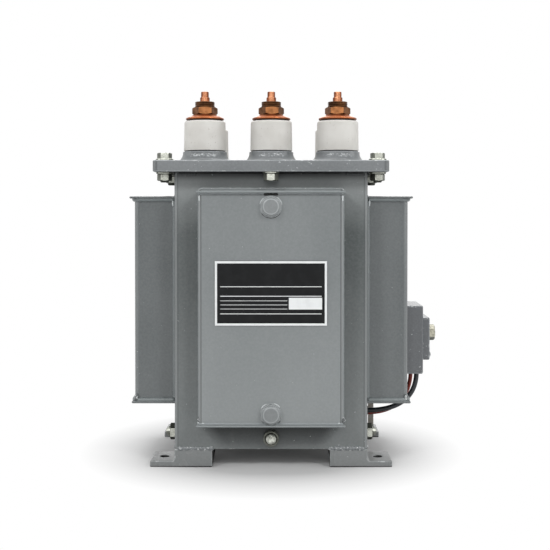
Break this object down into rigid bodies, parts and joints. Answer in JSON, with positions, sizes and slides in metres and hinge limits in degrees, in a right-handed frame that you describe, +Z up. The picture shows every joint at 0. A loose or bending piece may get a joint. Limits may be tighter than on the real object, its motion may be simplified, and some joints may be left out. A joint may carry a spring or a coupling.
{
  "type": "pole mounted transformer",
  "caption": "Oil-filled distribution transformer with a boxy tank, flat cooling pockets on every wall, short porcelain bushings, a side terminal box and bolted feet.",
  "frame": {"origin": "on the ground at the middle of the four foot bolt holes", "axes": "+X to the right as the front is seen, +Y to the back, +Z up"},
  "size_m": [0.6374, 0.4565, 0.7585],
  "materials": {
    "grey_paint": "satin grey paint on steel",
    "porcelain": "matt off-white porcelain",
    "copper": "bare turned copper",
    "brass": "browned brass",
    "zinc": "zinc plated steel",
    "rubber": "matt black rubber",
    "plate_black": "black enamelled plate",
    "red_sheath": "dark red lead sheath"
  },
  "bodies": {
    "root": {"black_lead": "rubber", "bushing_seals": "rubber", "drain_collar": "zinc", "drain_plug": "zinc", "earth_bar": "grey_paint", "earth_bolts": "zinc", "front_collars": "brass", "front_left_foot": "grey_paint", "front_nuts": "brass", "front_pocket_caps": "grey_paint", "front_pocket_plugs": "grey_paint", "front_pocket_sheet": "grey_paint", "front_porcelain_left": "porcelain", "front_porcelain_middle": "porcelain", "front_porcelain_right": "porcelain", "front_right_foot": "grey_paint", "front_studs": "copper", "front_turrets": "grey_paint", "front_washers": "copper", "lead_glands": "rubber", "left_pocket_caps": "grey_paint", "left_pocket_sheet": "grey_paint", "lid": "grey_paint", "lid_gasket": "rubber", "rating_plate": "plate_black", "rear_collars": "brass", "rear_left_foot": "grey_paint", "rear_nuts": "brass", "rear_pocket_caps": "grey_paint", "rear_pocket_sheet": "grey_paint", "rear_porcelain_left": "porcelain", "rear_porcelain_middle": "porcelain", "rear_porcelain_right": "porcelain", "rear_right_foot": "grey_paint", "rear_studs": "copper", "rear_turrets": "grey_paint", "rear_washers": "copper", "red_lead": "red_sheath", "right_pocket_caps": "grey_paint", "right_pocket_sheet": "grey_paint", "tank_floor": "grey_paint", "tank_rim": "grey_paint", "tank_shell": "grey_paint", "terminal_box": "grey_paint", "terminal_box_bolt": "zinc", "terminal_box_cover": "grey_paint"}
  },
  "joints": []
}
